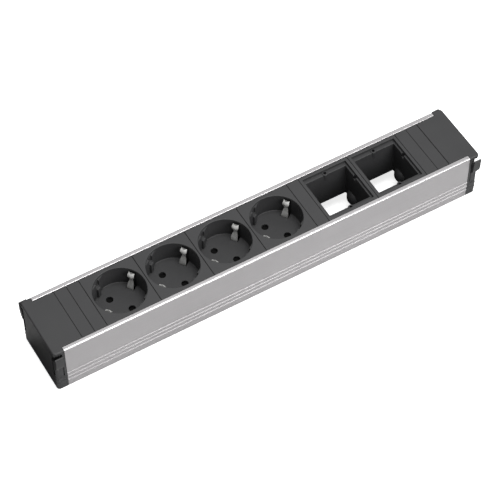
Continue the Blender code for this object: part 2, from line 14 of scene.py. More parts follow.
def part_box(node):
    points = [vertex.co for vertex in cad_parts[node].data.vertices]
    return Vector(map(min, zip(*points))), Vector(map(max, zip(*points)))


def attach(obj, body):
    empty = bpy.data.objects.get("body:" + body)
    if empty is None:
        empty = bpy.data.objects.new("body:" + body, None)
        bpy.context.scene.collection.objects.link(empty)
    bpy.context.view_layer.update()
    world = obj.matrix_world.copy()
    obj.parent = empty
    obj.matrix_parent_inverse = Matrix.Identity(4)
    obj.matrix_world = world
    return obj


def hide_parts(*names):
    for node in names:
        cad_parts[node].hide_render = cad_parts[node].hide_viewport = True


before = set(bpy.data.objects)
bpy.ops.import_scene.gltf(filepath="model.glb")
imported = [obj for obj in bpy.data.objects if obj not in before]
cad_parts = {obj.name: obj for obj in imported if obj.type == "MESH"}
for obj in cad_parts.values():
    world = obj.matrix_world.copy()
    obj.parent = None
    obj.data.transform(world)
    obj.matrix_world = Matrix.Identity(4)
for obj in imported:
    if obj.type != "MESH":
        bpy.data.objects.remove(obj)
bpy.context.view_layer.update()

# -------------------------------------------------------------------------------------------------- studio
# A seamless white floor, a broad soft panel overhead, two more in front and behind, and a dim room. The
# camera looks down on the strip from its front left. None of this belongs to the object.

camera = bpy.data.objects.new("camera", bpy.data.cameras.new("camera"))
camera.location = (-0.45428, -0.76699, 1.21597)
camera.rotation_euler = [math.radians(a) for a in (36.6028, 0.0200, -30.3663)]
camera.data.lens = 139.84
camera.data.sensor_width = 36.0
bpy.context.collection.objects.link(camera)
bpy.context.scene.camera = camera


def tone(code):
    """Turns an sRGB hex colour into linear red, green, blue and alpha."""
    parts = [int(code[i:i + 2], 16) / 255 for i in (1, 3, 5)]
    return (*(c / 12.92 if c <= 0.04045 else ((c + 0.055) / 1.055) ** 2.4 for c in parts), 1.0)


def add(tree, kind, inputs=(), **options):
    """Adds a node, sets its options, and gives each input a value or a link from another node's output."""
    made = tree.nodes.new(kind)
    for option, value in options.items():
        setattr(made, option, value)
    for name, value in dict(inputs).items():
        if isinstance(value, bpy.types.NodeSocket):
            tree.links.new(value, made.inputs[name])
        else:
            made.inputs[name].default_value = value
    return made


def soft_panel(name, place, size, watts):
    """A square area light that faces the strip."""
    lamp = bpy.data.lights.new(name, "AREA")
    lamp.size = size
    lamp.energy = watts
    panel = bpy.data.objects.new(name, lamp)
    panel.location = place
    panel.rotation_euler = (-Vector(place)).to_track_quat("-Z", "Y").to_euler()
    bpy.context.collection.objects.link(panel)


def studio_board(name, x, y, z, colour, glow=0.0):
    """A flat board between two limits on X and Y, of matt card with a faint broad unevenness."""
    mesh = bpy.data.meshes.new(name)
    corners = [(x[0], y[0], z), (x[1], y[0], z), (x[1], y[1], z), (x[0], y[1], z)]
    mesh.from_pydata(corners, [], [(0, 1, 2, 3)])
    card = bpy.data.materials.new(name)
    card.use_nodes = True
    tree = card.node_tree
    shader = tree.nodes["Principled BSDF"]
    shader.inputs["Roughness"].default_value = 0.9
    shader.inputs["Specular IOR Level"].default_value = 0.0
    shader.inputs["Emission Color"].default_value = tone("#ffffff")
    shader.inputs["Emission Strength"].default_value = glow
    place = add(tree, "ShaderNodeTexCoord").outputs["Object"]
    cloud = add(tree, "ShaderNodeTexNoise", {"Vector": place, "Scale": 2.0})
    tint = add(tree, "ShaderNodeMapRange", {"Value": cloud.outputs["Fac"], "To Min": 0.97, "To Max": 1.03})
    shade = add(tree, "ShaderNodeVectorMath", {0: tone(colour)[:3], "Scale": tint.outputs[0]},
                operation="SCALE")
    tree.links.new(shade.outputs[0], shader.inputs["Base Color"])
    mesh.materials.append(card)
    board = bpy.data.objects.new(name, mesh)
    bpy.context.collection.objects.link(board)
    return board


# The floor that shows is a lit white table. Only the camera sees it, so that its glare doesn't wash out the
# black plastic; what the strip itself mirrors is a grey board with a white card along each side.
board_span = (-4.0, 4.0)
card_run = (-0.25, 0.45)
floor = studio_board("floor", board_span, board_span, -0.0002, "#e8e8e8", 0.78)
floor.visible_diffuse = False
floor.visible_glossy = False
floor.visible_shadow = False
for board in (studio_board("grey_board", board_span, board_span, -0.0010, "#484848"),
              studio_board("front_card", card_run, (-0.50, -0.022), -0.0006, "#cacaca"),
              studio_board("back_card", card_run, (0.022, 0.50), -0.0006, "#cacaca")):
    board.visible_camera = False

soft_panel("overhead_panel", (0.15, -0.15, 1.7), 0.9, 19.0)
soft_panel("front_panel", (0.5, -1.4, 0.8), 0.8, 16.5)
soft_panel("back_panel", (0.55, 1.15, 1.15), 1.2, 2.8)

room = bpy.data.worlds.new("room")
room.use_nodes = True
room.node_tree.nodes["Background"].inputs["Color"].default_value = tone("#ffffff")
room.node_tree.nodes["Background"].inputs["Strength"].default_value = 0.33
bpy.context.scene.world = room
bpy.context.scene.view_settings.view_transform = "Standard"

# ---------------------------------------------------------------------------------------------------- bars
# Three bars stamped from half-hard brass strip carry the poles along the four sockets. The live and neutral
# bars have a folded fork under each pin hole; the flat earth bar joins the stirrups.

MM = 0.001


def finish(name, **values):
    """A Principled material with these constant values, and its tree, shader and object coordinates."""
    material = bpy.data.materials.new(name)
    material.use_nodes = True
    tree = material.node_tree
    shader = tree.nodes["Principled BSDF"]
    for socket, value in values.items():
        shader.inputs[socket.replace("_", " ")].default_value = value
    return material, tree, shader, add(tree, "ShaderNodeTexCoord").outputs["Object"]


def per_size(size):
    """The noise scale at which one speck is this many millimetres across."""
    return 1.0 / (size * MM)


def noise(tree, place, scale, detail):
    """A noise texture on a set of coordinates."""
    return add(tree, "ShaderNodeTexNoise", {"Vector": place, "Scale": scale, "Detail": detail})


def vary_roughness(tree, shader, share, at_zero, at_one):
    """Takes the roughness from one value to another as a share goes from 0 to 1."""
    matt = add(tree, "ShaderNodeMapRange", {"Value": share, "To Min": at_zero, "To Max": at_one})
    tree.links.new(matt.outputs[0], shader.inputs["Roughness"])


def roughen(tree, shader, texture, strength, depth):
    """Presses a texture into the surface to a depth in millimetres."""
    bump = add(tree, "ShaderNodeBump", {"Height": texture.outputs["Fac"], "Strength": strength,
                                        "Distance": depth * MM})
    tree.links.new(bump.outputs["Normal"], shader.inputs["Normal"])


def metal(name, light, dark, rough, streak, cloud_size, bare=1.0):
    """Bare or plated metal: fine parallel streaks of a real size, over broad clouds of tarnish.

    streak is the size of one streak in millimetres on each axis, rough the least and most roughness, and bare
    the share of the surface that shines as metal, the rest being a dull film.
    """
    material, tree, shader, place = finish(name, Metallic=bare)
    stretch = add(tree, "ShaderNodeMapping", {"Vector": place, "Scale": [per_size(size) for size in streak]})
    lines = noise(tree, stretch.outputs["Vector"], 1.0, 3.0)
    clouds = noise(tree, place, per_size(cloud_size), 2.0)
    both = add(tree, "ShaderNodeMath", {0: lines.outputs["Fac"], 1: clouds.outputs["Fac"]}, operation="ADD")
    share = add(tree, "ShaderNodeMapRange", {"Value": both.outputs[0], "From Min": 0.7, "From Max": 1.3})
    colour = add(tree, "ShaderNodeMix", {"Factor": share.outputs[0], "A": tone(dark), "B": tone(light)},
                 data_type="RGBA")
    tree.links.new(colour.outputs["Result"], shader.inputs["Base Color"])
    vary_roughness(tree, shader, share.outputs[0], rough[1], rough[0])
    roughen(tree, shader, lines, 0.25, 0.02)
    return material


# Rolled brass, warm yellow with browner clouds where it was handled, and rolling lines along the strip.
rolled_brass = metal("rolled_brass", "#d9b56a", "#a98442", (0.22, 0.42), (40.0, 0.5, 0.5), 9.0)


def dress(material, *nodes):
    """Gives CAD nodes a material."""
    for node in nodes:
        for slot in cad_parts[node].material_slots:
            slot.material = material


dress(rolled_brass, "live_busbar", "neutral_busbar", "earth_bar")

# ------------------------------------------------------------------------------------------------- carrier
# A deep tray moulded in black flame-retardant plastic. It holds the bars and stirrups upright in slots and
# has a counterbored column for each screw.


def moulded(name, light, dark, rough, grain=0.35, depth=0.03, shine=0.5):
    """Moulded plastic from a spark-eroded tool: a fine even grain, and broad soft flow marks in its colour.

    rough is the least and most roughness, grain the size and depth the height of one grain in millimetres,
    and shine the strength of its gloss.
    """
    material, tree, shader, place = finish(name, IOR=1.5, Specular_IOR_Level=shine)
    flow = noise(tree, place, per_size(14.0), 2.0)
    speck = noise(tree, place, per_size(grain), 2.0)
    both = add(tree, "ShaderNodeMath", {0: flow.outputs["Fac"], 1: speck.outputs["Fac"]}, operation="ADD")
    share = add(tree, "ShaderNodeMapRange", {"Value": both.outputs[0], "From Min": 0.6, "From Max": 1.4})
    colour = add(tree, "ShaderNodeMix", {"Factor": share.outputs[0], "A": tone(dark), "B": tone(light)},
                 data_type="RGBA")
    tree.links.new(colour.outputs["Result"], shader.inputs["Base Color"])
    vary_roughness(tree, shader, share.outputs[0], rough[0], rough[1])
    roughen(tree, shader, speck, 0.5, depth)
    return material


# Dull black with hardly any gloss: the inside faces of the tool aren't polished.
dull_tray_plastic = moulded("dull_tray_plastic", "#2b2b2c", "#232324", (0.6, 0.75), 0.5, 0.05)
dress(dull_tray_plastic, "contact_carrier")

# ------------------------------------------------------------------------------------------------ stirrups
# One earth stirrup in each socket, pressed from nickel-plated spring strip. Its bridge clips on the earth bar
# and its two prongs stand up through the recess wall, narrow at the waist, creased and bulged above it.

clip_thick = 0.6
clip_lean = math.radians(35.0)


def solid(name, rings):
    """A closed body through a stack of rings in millimetres, with its faces pointing out."""
    shape = bmesh.new()
    loops = [[shape.verts.new(Vector(point) * MM) for point in ring] for ring in rings]
    for near, far in zip(loops, loops[1:]):
        for i in range(len(near)):
            j = (i + 1) % len(near)
            shape.faces.new((near[i], near[j], far[j], far[i]))
    shape.faces.new(loops[0])
    shape.faces.new(loops[-1])
    bmesh.ops.recalc_face_normals(shape, faces=shape.faces)
    mesh = bpy.data.meshes.new(name)
    shape.to_mesh(mesh)
    shape.free()
    piece = bpy.data.objects.new(name, mesh)
    bpy.context.collection.objects.link(piece)
    return piece


def turn(piece, angle):
    """Turns a piece's mesh about the upright axis through the origin."""
    piece.data.transform(Matrix.Rotation(angle, 4, "Z"))
    return piece


def settled(piece):
    """Makes a piece's modifiers part of its mesh."""
    depsgraph = bpy.context.evaluated_depsgraph_get()
    mesh = bpy.data.meshes.new_from_object(piece.evaluated_get(depsgraph), preserve_all_data_layers=True,
                                           depsgraph=depsgraph)
    piece.modifiers.clear()
    piece.data = mesh
    return piece


def polished(piece, material, degrees=32.0):
    """Smooth shading that keeps real edges crisp and large faces flat."""
    piece.data.materials.clear()
    piece.data.materials.append(material)
    piece.data.shade_smooth()
    piece.data.set_sharp_from_angle(angle=math.radians(degrees))
    piece.modifiers.new("flat_faces", "WEIGHTED_NORMAL").keep_sharp = True
    return settled(piece)


def fit(piece, body, slot, *nodes):
    """Puts a finished piece on its body in place of the CAD nodes it stands for."""
    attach(piece, body)
    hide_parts(*nodes)


def middle_x(node):
    """The middle of a CAD node along the strip, in millimetres."""
    low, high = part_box(node)
    return (low.x + high.x) / 2 / MM


def numbered(stem, count):
    """The nodes of a piece that repeats: stem_1, stem_2 and so on."""
    return [f"{stem}_{n}" for n in range(1, count + 1)]


def fit_copies(pattern, body, slot, *nodes):
    """Puts a copy of a piece made round X = 0 in the place of each CAD node, and removes the pattern."""
    for node in nodes:
        twin = bpy.data.objects.new(node + "_finished", pattern.data.copy())
        twin.data.transform(Matrix.Translation((middle_x(node) * MM, 0.0, 0.0)))
        bpy.context.collection.objects.link(twin)
        fit(twin, body or node, slot, node)
    bpy.data.objects.remove(pattern)


def smooth_path(points, steps):
    """Points of a Catmull-Rom curve through a list of equal-length tuples."""
    path = []
    ends = [points[0]] + points + [points[-1]]
    for four in zip(ends, ends[1:], ends[2:], ends[3:]):
        for k in range(steps):
            t = k / steps
            path.append(tuple(0.5 * (2 * b + (c - a) * t + (2 * a - 5 * b + 4 * c - d) * t * t
                                     + (3 * b - a - 3 * c + d) * t ** 3) for a, b, c, d in zip(*four)))
    return path + [points[-1]]


# Each station of a prong: distance from the socket's axis, height, half width and depth of the crease.
prong = [(15.6, 7.1, 2.6, 0.0), (15.6, 17.0, 2.6, 0.0), (15.6, 27.0, 2.6, 0.0), (15.9, 29.6, 2.7, 0.0),
         (17.3, 33.4, 2.1, 0.0), (18.3, 36.0, 1.4, 0.1), (17.7, 38.4, 1.9, 0.45), (17.2, 40.6, 2.6, 0.65),
         (17.9, 42.2, 2.6, 0.6), (19.4, 43.3, 2.2, 0.4)]
stations = smooth_path(prong, 6)
stirrup_path = [(-r, z, half, crease) for r, z, half, crease in reversed(stations)] + stations
# How far the middle of each of the last stations is drawn back from the tip, which notches it.
tip_notch = {0: 1.7, 1: 1.1, 2: 0.5}
stirrup_rings = []
last = len(stirrup_path) - 1
for k, (x, z, half, crease) in enumerate(stirrup_path):
    before, after = stirrup_path[max(k - 1, 0)], stirrup_path[min(k + 1, last)]
    along = Vector((after[0] - before[0], after[1] - before[1])).normalized()
    out = Vector((-along.y, along.x)) * (clip_thick / 2)
    side = 1 if x > 0 else -1
    from_tip = min(k, last - k)
    pull = along * tip_notch.get(from_tip, 0.0) * (1 if k == from_tip else -1)
    mid_x, mid_z = x - side * crease + pull.x, z + pull.y
    stirrup_rings.append([(x + out.x, -half, z + out.y), (mid_x + out.x, 0.0, mid_z + out.y),
                          (x + out.x, half, z + out.y), (x - out.x, half, z - out.y),
                          (mid_x - out.x, 0.0, mid_z - out.y), (x - out.x, -half, z - out.y)])


def soft_edges(piece, width, degrees):
    """Rounds the edges that are sharper than an angle."""
    bevel = piece.modifiers.new("soft_edges", "BEVEL")
    bevel.width = width * MM
    bevel.segments = 2
    bevel.angle_limit = math.radians(degrees)
    return settled(piece)


# Dull nickel over bronze: a pale grey, softly streaked, that scatters light more than it mirrors.
nickel_spring_strip = metal("nickel_spring_strip", "#d8d8d6", "#aaaaa8", (0.5, 0.62), (0.4, 0.4, 6.0), 3.0,
                            bare=0.35)
stirrup = soft_edges(turn(solid("stirrup", stirrup_rings), clip_lean), 0.12, 50.0)
fit_copies(polished(stirrup, nickel_spring_strip, 24.0), "housing", "contact_steel",
           *numbered("earth_clip", 4))

# ------------------------------------------------------------------------------------------------ shutters
# A bow-tie shutter moulded in black plastic turns on a spigot under each recess floor and closes both pin
# holes. A ramp on each wing lets the two pins push it aside together.

gap = 0.3
pin_angle = math.radians(-55.0)
shutter_low, shutter_high = 23.6, 25.6
wing_r, waist_r = 12.9, 4.2
ramp_start, ramp_end = 7.6, 11.4
ramp_drop = 1.2
spigot_r = 1.5


def arc(centre, radius, start, end, steps):
    """Points of a round stretch, with its angles in degrees."""
    angles = [math.radians(start + (end - start) * k / steps) for k in range(steps + 1)]
    return [(centre[0] + radius * math.cos(a), centre[1] + radius * math.sin(a)) for a in angles]


def lathe(name, profile, centre=(0.0, 0.0), sides=48):
    """A body turned about an upright axis from (radius, height) pairs."""
    return solid(name, [[(x, y, z) for x, y in arc(centre, radius, 0, 360, sides)[:-1]]
                        for radius, z in profile])


def slab(name, outline, low, high, break_by):
    """An outline in plan, extruded upright, with its top edge broken by a chamfer towards its middle."""
    rings = [[(x, y, height) for x, y in outline] for height in (low, high - break_by)]
    reach = [1.0 - break_by / math.hypot(x, y) for x, y in outline]
    rings.append([(x * share, y * share, high) for (x, y), share in zip(outline, reach)])
    return solid(name, rings)


def combine(base, operation, tool):
    """Makes a tool part of a piece, or of its hollows, and removes the tool."""
    boolean = base.modifiers.new(tool.name, "BOOLEAN")
    boolean.operation = operation
    boolean.object = tool
    boolean.solver = "EXACT"
    settled(base)
    bpy.data.objects.remove(tool)
    return base


def join(base, tool):
    """Joins a tool to a piece."""
    return combine(base, "UNION", tool)


def cut(base, tool):
    """Cuts a tool out of a piece."""
    return combine(base, "DIFFERENCE", tool)


def block(name, x, y, z, corner=0.2, top=0.0):
    """A block between limits on each axis; corner rounds its upright edges and top its upper ones."""
    rings = []
    heights = [(z[0], 0.0), (z[1] - top, 0.0)]
    if top:
        heights += [(z[1] - top + top * math.sin(math.radians(a)), top - top * math.cos(math.radians(a)))
                    for a in (30, 60, 90)]
    for height, inset in heights:
        r = max(corner - inset, 0.03)
        centres = [(x[1] - inset - r, y[1] - inset - r, 0), (x[0] + inset + r, y[1] - inset - r, 90),
                   (x[0] + inset + r, y[0] + inset + r, 180), (x[1] - inset - r, y[0] + inset + r, 270)]
        rings.append([(px, py, height) for cx, cy, start in centres
                      for px, py in arc((cx, cy), r, start, start + 90, 3)])
    return solid(name, rings)


wings = []
for wing in (0.0, 180.0):
    wings += arc((0.0, 0.0), wing_r, wing - 18, wing + 18, 8)
    wings += arc((0.0, 0.0), waist_r, wing + 50, wing + 130, 8)
shutter = slab("shutter", wings, shutter_low, shutter_high, 0.25)
ramp_side = [(-2.6, shutter_low - ramp_drop), (2.6, shutter_low + 0.1), (2.6, shutter_low + 0.4),
             (-2.6, shutter_low + 0.4)]
for side in (1, -1):
    join(shutter, solid("ramp", [[(side * x, side * y, z) for y, z in ramp_side]
                                 for x in (ramp_start, ramp_end)]))
hub_r = spigot_r + gap
cut(turn(shutter, pin_angle), lathe("hub", [(hub_r, shutter_low - 2), (hub_r, shutter_high + 2)], sides=32))

# Acetal filled with carbon black, its colour drawn near black, far darker than the other black mouldings:
# painted shade, so that a closed pin hole looks deep and empty. It has next to no shine.
black_acetal_painted_hole_shade = moulded("black_acetal_painted_hole_shade", "#0a0a0a", "#060606", (0.6, 0.7), 0.4, 0.01, 0.1)
fit_copies(polished(shutter, black_acetal_painted_hole_shade), None, "black_plastic", *numbered("shutter", 4))

# ------------------------------------------------------------------------------------------------- springs
# A short coil of zinc-plated music wire sits on each spigot under its shutter. It turns the shutter back
# over the pin holes once the plug is out.


def tree_with_inputs(name, sizes, material):
    """A Geometry Nodes tree with named number inputs, ending in Realize Instances and Set Material."""
    tree = bpy.data.node_groups.new(name, "GeometryNodeTree")
    tree.interface.new_socket("Geometry", in_out="INPUT", socket_type="NodeSocketGeometry")
    for label in sizes:
        tree.interface.new_socket(label, in_out="INPUT", socket_type="NodeSocketFloat")
    tree.interface.new_socket("Geometry", in_out="OUTPUT", socket_type="NodeSocketGeometry")
    start = add(tree, "NodeGroupInput")
    real = add(tree, "GeometryNodeRealizeInstances")
    skin = add(tree, "GeometryNodeSetMaterial", {"Geometry": real.outputs[0], "Material": material})
    add(tree, "NodeGroupOutput", {"Geometry": skin.outputs[0]})
    return tree, start, real.inputs[0]


def grown(name, tree, sizes, seed_mesh=None):
    """Runs a tree on a seed mesh with its named sizes in metres, and keeps the result as a plain mesh."""
    piece = bpy.data.objects.new(name, seed_mesh or bpy.data.meshes.new(name))
    bpy.context.collection.objects.link(piece)
    modifier = piece.modifiers.new(name, "NODES")
    modifier.node_group = tree
    for item in tree.interface.items_tree:
        if item.in_out == "INPUT" and item.name in sizes:
            modifier[item.identifier] = float(sizes[item.name])
    return settled(piece)


# Bright zinc plate, bluish, over drawn wire and turned screws.
zinc_plate = metal("zinc_plate", "#c9ccd0", "#9ea2a8", (0.25, 0.42), (0.6, 0.6, 0.6), 2.0)
coil_tree, coil_in, coil_end = tree_with_inputs(
    "coil_spring", ("Turns", "Radius", "Start", "Height", "Wire"), zinc_plate)
coil = add(coil_tree, "GeometryNodeCurveSpiral",
           {"Resolution": 28, "Rotations": coil_in.outputs["Turns"], "Height": coil_in.outputs["Height"],
            "Start Radius": coil_in.outputs["Radius"], "End Radius": coil_in.outputs["Radius"]})
wire_round = add(coil_tree, "GeometryNodeCurvePrimitiveCircle",
                 {"Resolution": 10, "Radius": coil_in.outputs["Wire"]}, mode="RADIUS")
coil_skin = add(coil_tree, "GeometryNodeCurveToMesh",
                {"Curve": coil.outputs[0], "Profile Curve": wire_round.outputs[0], "Fill Caps": True})
lift = add(coil_tree, "ShaderNodeCombineXYZ", {"Z": coil_in.outputs["Start"]})
raised = add(coil_tree, "GeometryNodeTransform",
             {"Geometry": coil_skin.outputs[0], "Translation": lift.outputs[0]})
smoothed = add(coil_tree, "GeometryNodeSetShadeSmooth", {"Geometry": raised.outputs[0]})
coil_tree.links.new(smoothed.outputs[0], coil_end)
spring_sizes = {"Turns": 1.9, "Radius": 2.3 * MM, "Start": 22.15 * MM, "Height": 0.85 * MM, "Wire": 0.15 * MM}
spring = grown("spring", coil_tree, spring_sizes)
fit_copies(polished(spring, zinc_plate, 50.0), "housing", "zinc_steel", *numbered("shutter_spring", 4))

# ------------------------------------------------------------------------------------------------- sockets
# Four earthed inserts, each one moulding: a flat cover with flanges that slide under the rail lips, a deep
# round recess with two flat lands for the plug's notches, slots for the stirrup, and screw posts below.

top_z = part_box("socket_insert_1")[1].z / MM
top_half = 23.4
flange_half = 25.5
flange_low, flange_high = 41.9, 43.9
plate_low = 43.5
socket_pitch = 45.0
skirt_half, skirt_thick, skirt_low = 22.6, 1.4, 22.4
recess_r = 20.5
recess_floor = top_z - 17.8
cup_wall = 1.35
floor_thick = 2.0
floor_fillet = 0.6
rim = 0.5
land_chord, land_half = 18.8, 8.6
notch_low = 38.6
notch_half, guide_rib_half = 2.3, 1.9
pin_circle, pin_hole_r, pin_hole_chamfer = 9.5, 2.75, 0.15
clip_slot_reach, clip_slot_half = (15.0, 21.6), 3.2
clip_housing_reach, clip_housing_half = (18.5, 22.7), 4.6
post_at, post_r, pilot_r, pilot_top = 18.6, 2.9, 1.6, 34.0


def slide_rings(half_length, skirt, thick, skirt_end, top=top_z, edge=0.3):
    """Rings along X of a module that slides between the rails, with the edges of its top face rounded."""
    rings = []
    for degrees in (0, 30, 60, 90):
        a = math.radians(degrees)
        drop = edge * (1 - math.sin(a))
        r = max(edge - drop, 0.02)
        right = [(top_half - edge + y, top - edge + z) for z, y in arc((0.0, 0.0), r, 0, 90, 3)]
        right += [(top_half - drop, flange_high), (flange_half, flange_high), (flange_half, flange_low),
                  (skirt, flange_low), (skirt, skirt_end), (skirt - thick, skirt_end),
                  (skirt - thick, plate_low)]
        outline = right + [(-y, z) for y, z in reversed(right)]
        rings.append([(-half_length + edge * (1 - math.cos(a)), y, z) for y, z in outline])
    return rings + [[(-x, y, z) for x, y, z in ring] for ring in reversed(rings)]


def polar(radius, angle, across=0.0):
    """A point at a radius on a direction, shifted sideways from that direction."""
    return (radius * math.cos(angle) - across * math.sin(angle),
            radius * math.sin(angle) + across * math.cos(angle))


def bored(piece, radius, low, high, place):
    """Cuts a plain round hole into a piece."""
    return cut(piece, lathe("bore", [(radius, low), (radius, high)], place, sides=24))


insert = solid("insert", slide_rings((socket_pitch - gap) / 2, skirt_half, skirt_thick, skirt_low))
cup_r = recess_r + cup_wall
cup_low = recess_floor - floor_thick
join(insert, lathe("cup", [(cup_r, cup_low), (cup_r, top_z - 1.0)], sides=96))
for angle in (clip_lean, clip_lean + math.pi):
    join(insert, turn(block("clip_housing", clip_housing_reach, (-clip_housing_half, clip_housing_half),
                            (cup_low, top_z - 1.2), 0.4), angle))
for x, y in ((-post_at, post_at), (post_at, -post_at)):
    join(insert, lathe("post", [(post_r, skirt_low), (post_r, top_z - 1.0)], (x, y), 32))
    bored(insert, pilot_r, skirt_low - 1.0, pilot_top, (x, y))
fillet_from = recess_r - 0.8
recess = [(fillet_from, recess_floor)]
recess += arc((fillet_from, recess_floor + floor_fillet), floor_fillet, -60, 0, 3)
recess += arc((recess_r + rim, top_z - rim), rim, 180, 90, 5)
recess.append((recess_r + rim, top_z + 1.0))
cut(insert, lathe("recess", recess, sides=144))
join(insert, lathe("spigot", [(1.9, 20.7), (2.6, 21.5), (spigot_r, 21.7), (spigot_r, recess_floor - 1.0)],
                   sides=32))
for angle in (pin_angle, pin_angle + math.pi):
    land = []
    for height, back in ((recess_floor - 0.6, 0.0), (top_z - 1.9, 0.0), (top_z - 1.6, 0.3)):
        flat = [polar(land_chord + back, angle, side) for side in (-land_half, land_half)]
        round_back = [polar(recess_r + 0.8, angle + math.radians(step)) for step in range(24, -25, -8)]
        land.append([(x, y, height) for x, y in flat + round_back])
    join(insert, solid("land", land))
    cut(insert, turn(block("notch", (land_chord - 0.5, 20.1), (-notch_half, notch_half),
                           (notch_low, top_z - 1.0), 0.3), angle))
    join(insert, turn(block("guide_rib", (17.2, 19.4), (-guide_rib_half, guide_rib_half),
                            (recess_floor - 0.5, notch_low - 0.6), 0.3, 0.4), angle))
    chamfered_r = pin_hole_r + pin_hole_chamfer
    hole = [(pin_hole_r, 24.0), (pin_hole_r, recess_floor - pin_hole_chamfer), (chamfered_r, recess_floor),
            (chamfered_r, recess_floor + 1.0)]
    cut(insert, lathe("pin_hole", hole, polar(pin_circle, angle), 40))
for angle in (clip_lean, clip_lean + math.pi):
    cut(insert, turn(block("clip_slot", clip_slot_reach, (-clip_slot_half, clip_slot_half),
                           (24.0, top_z - 1.3), 0.3), angle))

# Polycarbonate blend, black through and through, with the soft even sheen of a fine spark-eroded tool. The
# grain is drawn at 0.35 mm, about twice its real size, so that it still shows.
satin_black_plastic = moulded("satin_black_plastic", "#373738", "#313132", (0.47, 0.6))
fit_copies(polished(insert, satin_black_plastic), "housing", "black_plastic", *numbered("socket_insert", 4))

# -------------------------------------------------------------------------------------------------- screws
# Two self-tapping screws for each insert, turned and rolled in zinc-plated steel with a cross recess, driven
# up through the carrier's columns into the insert's posts.

core_r, crest_r = 1.05, 1.28
thread_low, thread_pitch, thread_turns = 8.6, 1.1, 20
screw_profile = [(2.0, 6.3), (2.2, 6.4), (2.3, 6.6), (2.3, 7.6), (2.2, 7.7), (core_r, 7.7),
                 (core_r, thread_low)]
for k in range(thread_turns):
    z = thread_low + thread_pitch * k
    screw_profile += [(core_r, z + 0.3), (crest_r, z + 0.55), (crest_r, z + 0.65), (core_r, z + 0.9)]
screw_profile += [(0.9, 31.4), (0.2, 32.5)]
screw = lathe("screw", screw_profile, sides=20)
for angle in (math.pi / 4, -math.pi / 4):
    cut(screw, turn(block("cross", (-1.3, 1.3), (-0.3, 0.3), (6.0, 7.2), 0.1), angle))
polished(screw, zinc_plate)

screw_axes = []
for low, high in (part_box(node) for node in numbered("carrier_screw", 8)):
    screw_axes.append(((low.x + high.x) / 2, (low.y + high.y) / 2, 0.0))
screw_points = bpy.data.meshes.new("screw_points")
screw_points.from_pydata(screw_axes, [], [])
screw_tree, screw_in, screw_end = tree_with_inputs("screws_in_columns", ("Turn Each",), zinc_plate)
one_screw = add(screw_tree, "GeometryNodeObjectInfo", {"Object": screw, "As Instance": True})
screw_index = add(screw_tree, "GeometryNodeInputIndex")
screw_turn = add(screw_tree, "ShaderNodeMath",
                 {0: screw_index.outputs[0], 1: screw_in.outputs["Turn Each"]}, operation="MULTIPLY")
screw_spin = add(screw_tree, "ShaderNodeCombineXYZ", {"Z": screw_turn.outputs[0]})
set_screws = add(screw_tree, "GeometryNodeInstanceOnPoints",
                 {"Points": screw_in.outputs["Geometry"], "Instance": one_screw.outputs["Geometry"],
                  "Rotation": screw_spin.outputs[0]})
screw_tree.links.new(set_screws.outputs[0], screw_end)
screws = grown("carrier_screws", screw_tree, {"Turn Each": 0.9}, screw_points)
bpy.data.objects.remove(screw)
fit(screws, "housing", "zinc_steel", *numbered("carrier_screw", 8))

# --------------------------------------------------------------------------------------------------- inlet
# A recessed three-pole appliance inlet in the underside, moulded in black, with a keyed mouth and three
# nickel-plated brass blades pressed through its ceiling.

inlet_x = middle_x("inlet_body")
inlet_half_x, inlet_half_y = 9.9, 13.6
inlet_flange_x, inlet_flange_y = 12.0, 15.8
mouth_x, mouth_y, mouth_key = 8.3, 12.1, 4.0
ceiling = 20.0


def about_inlet(name, half_x, half_y, z, corner, top=0.0):
    """A block centred on the inlet."""
    return block(name, (inlet_x - half_x, inlet_x + half_x), (-half_y, half_y), z, corner, top)


inlet = about_inlet("inlet_moulding", inlet_half_x, inlet_half_y, (2.1, 24.0), 0.8, 0.6)
join(inlet, about_inlet("inlet_flange", inlet_flange_x, inlet_flange_y, (4.2, 6.0), 1.0))
keyed_mouth = [(-mouth_x, -mouth_y), (mouth_x - mouth_key, -mouth_y), (mouth_x, mouth_key - mouth_y),
               (mouth_x, mouth_y - mouth_key), (mouth_x - mouth_key, mouth_y), (-mouth_x, mouth_y)]
cut(inlet, solid("keyed_mouth", [[(inlet_x + x * grow, y * grow, z) for x, y in keyed_mouth]
                                 for z, grow in ((1.5, 1.06), (2.1, 1.05), (2.8, 1.0), (ceiling, 1.0))]))

# Plated blade: a brighter, smoother cousin of the stirrup's nickel.
nickel_blade = metal("nickel_blade", "#dcd8cf", "#b5b0a6", (0.18, 0.3), (0.5, 0.5, 8.0), 4.0)
for pole in ("live", "neutral", "earth"):
    low, high = (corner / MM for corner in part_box(f"inlet_pin_{pole}"))
    cut(inlet, block("blade_slot", (low.x - gap, high.x + gap), (low.y - gap, high.y + gap),
                     (ceiling - 1.0, 25.0), 0.1))
    blade_rings = []
    for z, inset in ((low.z, 0.6), (low.z + 0.8, 0.1), (low.z + 1.2, 0.0), (high.z - 0.2, 0.0),
                     (high.z, 0.15)):
        left, right, front, back = low.x + inset, high.x - inset, low.y + inset, high.y - inset
        blade_rings.append([(left, front, z), (right, front, z), (right, back, z), (left, back, z)])
    blade = solid(f"{pole}_blade", blade_rings)
    fit(polished(blade, nickel_blade, 20.0), "housing", "contact_steel", f"inlet_pin_{pole}")
fit(polished(inlet, satin_black_plastic), "housing", "black_plastic", "inlet_body")

# --------------------------------------------------------------------------------------------------- wires
# Three short 1.5 mm2 stranded wires in soft PVC run from the inlet's tabs to the ends of the bars: brown for
# live, blue for neutral, green with a yellow stripe for earth.


